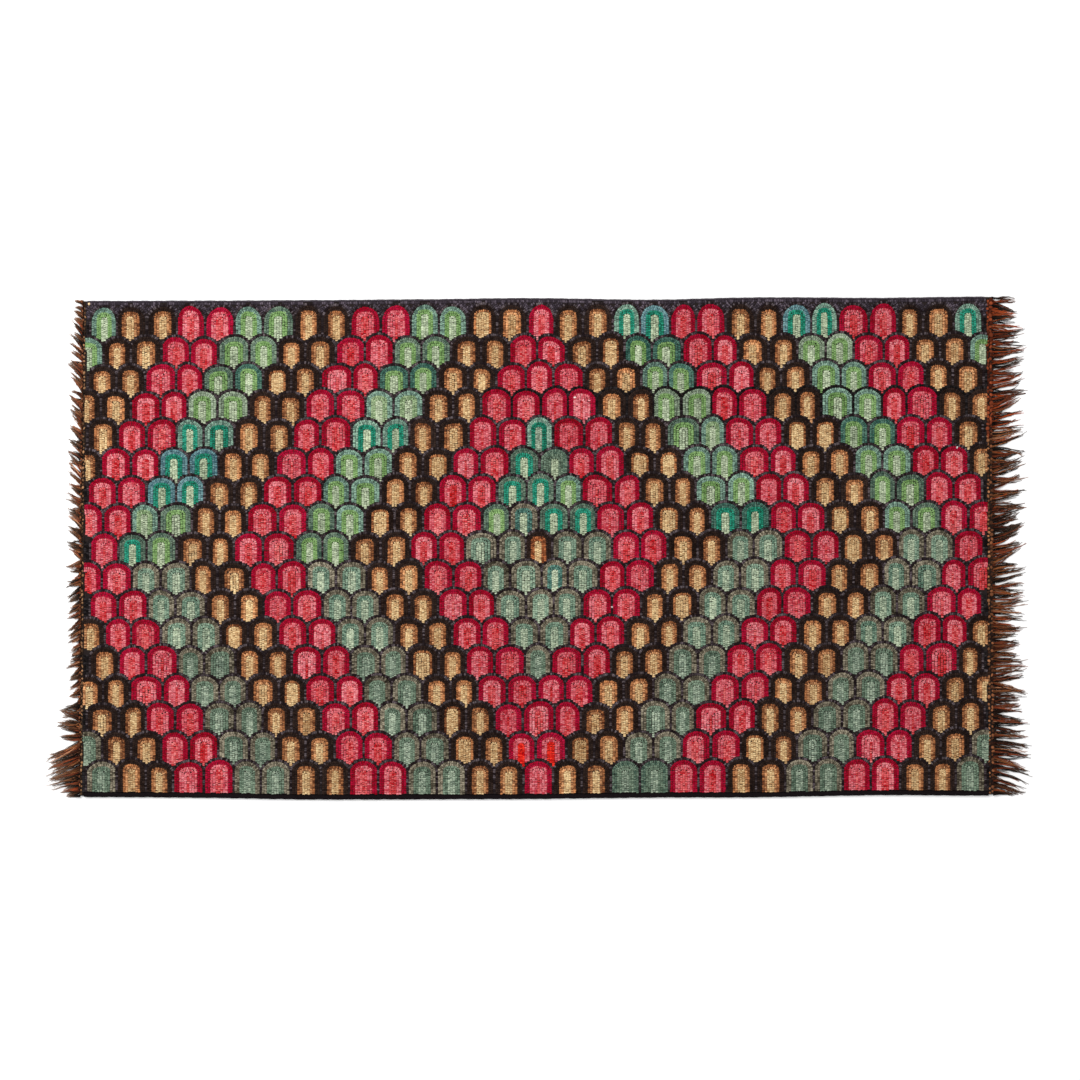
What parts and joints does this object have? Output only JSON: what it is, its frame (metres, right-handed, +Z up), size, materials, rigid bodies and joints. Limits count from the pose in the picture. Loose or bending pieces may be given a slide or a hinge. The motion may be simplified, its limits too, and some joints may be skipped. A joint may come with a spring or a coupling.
{
  "type": "hooked rug",
  "caption": "Flat rectangular hooked wool rug with rows of overlapping scale motifs in concentric diamonds, bound long edges and a knotted yarn fringe at each end.",
  "frame": {"origin": "on the underside, at the middle of the rug's whole outline with its fringes", "axes": "+X along the rug's length to the end with the longer fringe, +Y across it towards the straighter long edge, +Z up out of the hooked face"},
  "size_m": [1.7251, 0.8839, 0.0085],
  "materials": {
    "hooked_wool": "looped wool pile, matte, multicoloured",
    "edge_binding": "matte black twilled tape",
    "fringe_yarn": "matte rust and black wool yarn"
  },
  "bodies": {
    "root": {"hooked_field": "hooked_wool", "binding_top": "edge_binding", "binding_bottom": "edge_binding", "fringe_left": "fringe_yarn", "fringe_right": "fringe_yarn"}
  },
  "joints": []
}
